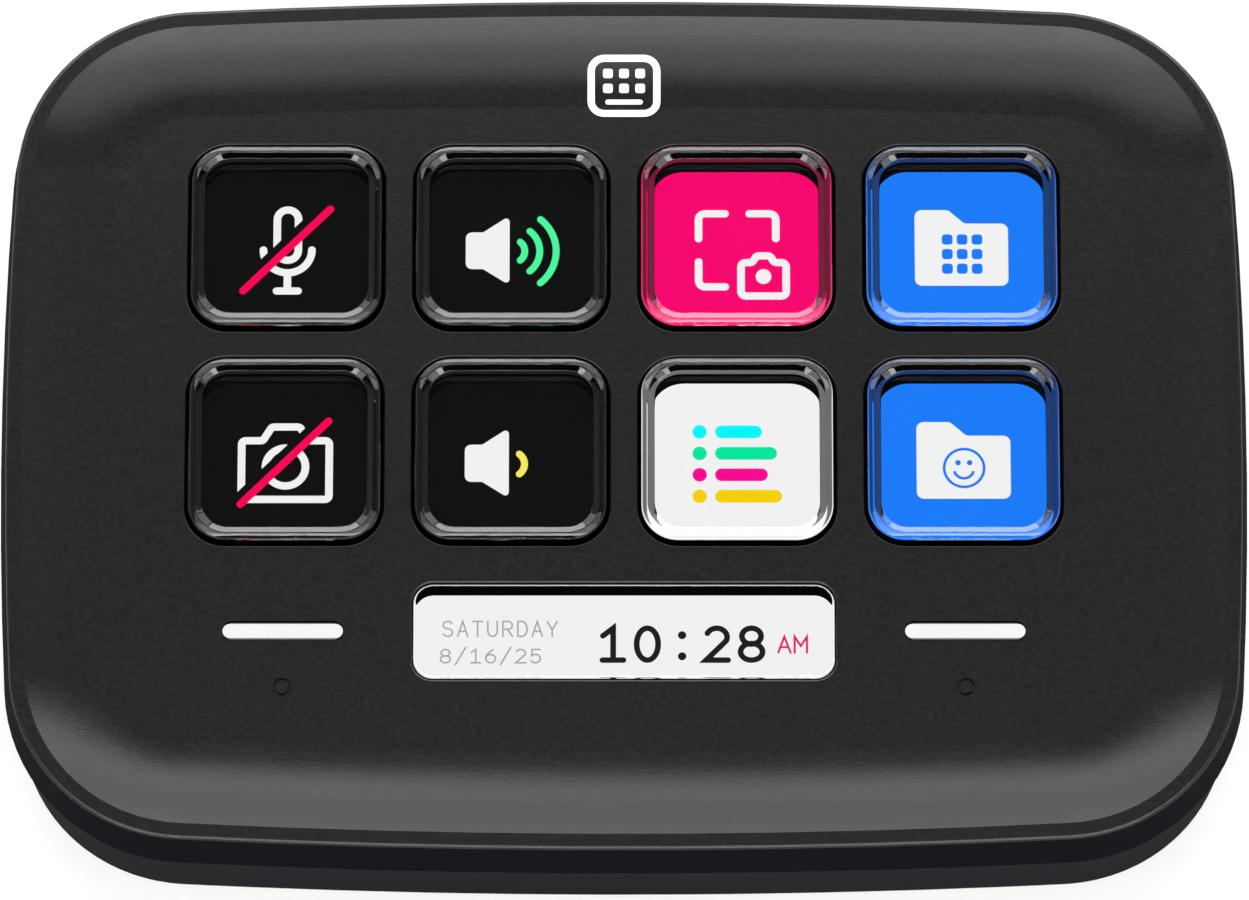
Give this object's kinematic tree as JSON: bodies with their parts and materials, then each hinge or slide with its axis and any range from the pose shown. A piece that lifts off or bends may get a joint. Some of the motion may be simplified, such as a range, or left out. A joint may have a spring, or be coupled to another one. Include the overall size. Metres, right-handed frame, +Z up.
{
  "type": "macro keypad",
  "caption": "Desk macro keypad: a black wedge with a dished face, clear push keys over one colour display, an info window, light bars and touch marks.",
  "frame": {"origin": "centre of the object's footprint, on the desk plane under the foot", "axes": "+X to the right along the long side, +Y to the rear where the socket is, +Z up; the face tilts towards -Y"},
  "size_m": [0.1074, 0.0786, 0.0259],
  "materials": {
    "cover_black": "fine textured black moulding, satin",
    "base_black": "smooth satin black moulding",
    "foot_rubber": "matt black non-slip rubber",
    "key_clear": "clear polished acrylic",
    "window_clear": "clear polished acrylic",
    "bar_white": "milky light-diffusing acrylic, lit white",
    "frame_black": "black carrier frame",
    "collar_silicone": "dark translucent silicone",
    "pad_rubber": "conductive black rubber",
    "board_laminate": "solder-masked circuit board",
    "mask_film": "black light-blocking film",
    "display_glass": "polarised display glass",
    "film_white": "white diffusing or reflecting film",
    "guide_clear": "clear light guide",
    "lamp_white": "white lamp packages",
    "tray_steel": "folded stainless sheet",
    "weight_steel": "zinc-plated steel plate",
    "screw_steel": "blackened steel screws",
    "socket_steel": "nickel-plated steel shell",
    "tongue_plastic": "black moulded insulator",
    "chip_black": "black epoxy package",
    "crystal_metal": "plated metal can",
    "connector_ivory": "ivory connector body",
    "cable_amber": "amber polyimide ribbon"
  },
  "bodies": {
    "root": {"top_shell": "cover_black", "base_shell": "base_black", "foot_pad": "foot_rubber", "weight_plate": "weight_steel", "weight_screws": "screw_steel", "case_screws": "screw_steel", "info_window": "window_clear", "light_bar_left": "bar_white", "light_bar_right": "bar_white", "touch_pad_left": "pad_rubber", "touch_pad_right": "pad_rubber", "key_board": "board_laminate", "display_mask": "mask_film", "lcd_panel": "display_glass", "diffuser_sheet": "film_white", "light_guide": "guide_clear", "backlight_leds": "lamp_white", "reflector_sheet": "film_white", "display_frame": "tray_steel", "display_screws": "screw_steel", "display_flex": "cable_amber", "key_flex": "cable_amber", "main_board": "board_laminate", "main_board_screws": "screw_steel", "controller_chip": "chip_black", "memory_chip": "chip_black", "regulator_chip": "chip_black", "crystal": "crystal_metal", "display_connector": "connector_ivory", "key_connector": "connector_ivory", "usb_socket": "socket_steel", "usb_tongue": "tongue_plastic", "key_collar_1": "collar_silicone", "key_collar_2": "collar_silicone", "key_collar_3": "collar_silicone", "key_collar_4": "collar_silicone", "key_collar_5": "collar_silicone", "key_collar_6": "collar_silicone", "key_collar_7": "collar_silicone", "key_collar_8": "collar_silicone"},
    "key_1": {"key_cap_1": "key_clear", "key_frame_1": "frame_black"},
    "key_2": {"key_cap_2": "key_clear", "key_frame_2": "frame_black"},
    "key_3": {"key_cap_3": "key_clear", "key_frame_3": "frame_black"},
    "key_4": {"key_cap_4": "key_clear", "key_frame_4": "frame_black"},
    "key_5": {"key_cap_5": "key_clear", "key_frame_5": "frame_black"},
    "key_6": {"key_cap_6": "key_clear", "key_frame_6": "frame_black"},
    "key_7": {"key_cap_7": "key_clear", "key_frame_7": "frame_black"},
    "key_8": {"key_cap_8": "key_clear", "key_frame_8": "frame_black"}
  },
  "joints": [
    {"name": "key_1_press", "type": "slide", "parent": "root", "child": "key_1", "axis": [0, 0.1392, -0.9903], "range_m": [0, 0.0012], "stiffness_N_per_m": 400, "springref_m": -0.0012, "deforming": ["key_collar_1"]},
    {"name": "key_2_press", "type": "slide", "parent": "root", "child": "key_2", "axis": [0, 0.1392, -0.9903], "range_m": [0, 0.0012], "stiffness_N_per_m": 400, "springref_m": -0.0012, "deforming": ["key_collar_2"]},
    {"name": "key_3_press", "type": "slide", "parent": "root", "child": "key_3", "axis": [0, 0.1392, -0.9903], "range_m": [0, 0.0012], "stiffness_N_per_m": 400, "springref_m": -0.0012, "deforming": ["key_collar_3"]},
    {"name": "key_4_press", "type": "slide", "parent": "root", "child": "key_4", "axis": [0, 0.1392, -0.9903], "range_m": [0, 0.0012], "stiffness_N_per_m": 400, "springref_m": -0.0012, "deforming": ["key_collar_4"]},
    {"name": "key_5_press", "type": "slide", "parent": "root", "child": "key_5", "axis": [0, 0.1392, -0.9903], "range_m": [0, 0.0012], "stiffness_N_per_m": 400, "springref_m": -0.0012, "deforming": ["key_collar_5"]},
    {"name": "key_6_press", "type": "slide", "parent": "root", "child": "key_6", "axis": [0, 0.1392, -0.9903], "range_m": [0, 0.0012], "stiffness_N_per_m": 400, "springref_m": -0.0012, "deforming": ["key_collar_6"]},
    {"name": "key_7_press", "type": "slide", "parent": "root", "child": "key_7", "axis": [0, 0.1392, -0.9903], "range_m": [0, 0.0012], "stiffness_N_per_m": 400, "springref_m": -0.0012, "deforming": ["key_collar_7"]},
    {"name": "key_8_press", "type": "slide", "parent": "root", "child": "key_8", "axis": [0, 0.1392, -0.9903], "range_m": [0, 0.0012], "stiffness_N_per_m": 400, "springref_m": -0.0012, "deforming": ["key_collar_8"]}
  ]
}
